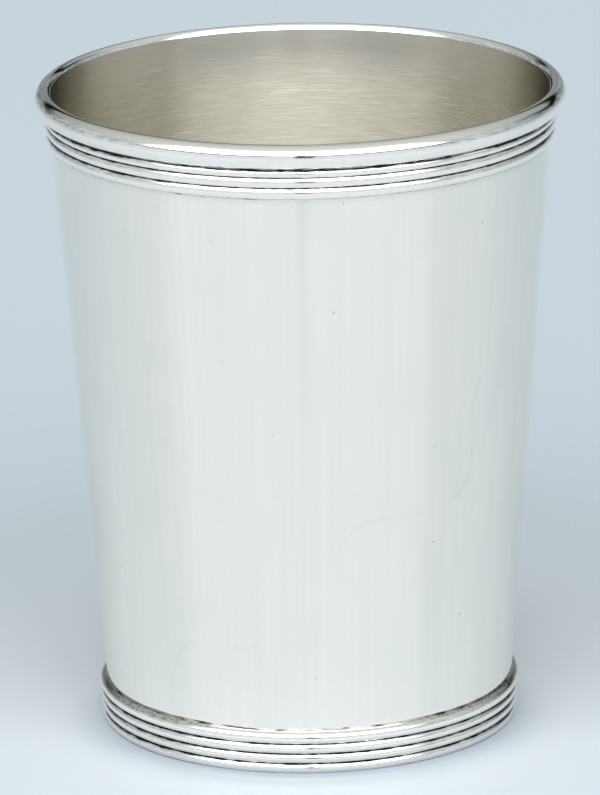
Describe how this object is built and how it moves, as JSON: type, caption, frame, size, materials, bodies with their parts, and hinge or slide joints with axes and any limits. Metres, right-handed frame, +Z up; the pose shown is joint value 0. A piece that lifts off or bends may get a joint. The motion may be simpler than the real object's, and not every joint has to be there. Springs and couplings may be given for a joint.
{
  "type": "julep cup",
  "caption": "Tapered silver julep cup: an open drinking cup with a rounded lip bead, a reeded strip below the lip and a reeded foot band that it stands on.",
  "frame": {"origin": "centre of the standing face, on the cup's axis", "axes": "+Z up along the cup's axis; the cup is a solid of revolution, so +X and +Y are free"},
  "size_m": [0.077, 0.077, 0.0953],
  "materials": {
    "polished_silver": "buffed sterling silver, bright with fine handling marks",
    "satin_silver": "sterling silver left satin from turning",
    "reeded_silver": "drawn reeded silver strip, bright crests and dull grooves",
    "silver_solder": "hard silver solder, dull and slightly yellow"
  },
  "bodies": {
    "root": {"cup_wall": "polished_silver", "base_disc": "satin_silver", "lip_bead": "polished_silver", "rim_reed_band": "reeded_silver", "foot_reed_band": "reeded_silver", "bead_solder_seam": "silver_solder", "rim_solder_seam": "silver_solder", "foot_solder_seam": "silver_solder", "base_solder_seam": "silver_solder"}
  },
  "joints": []
}
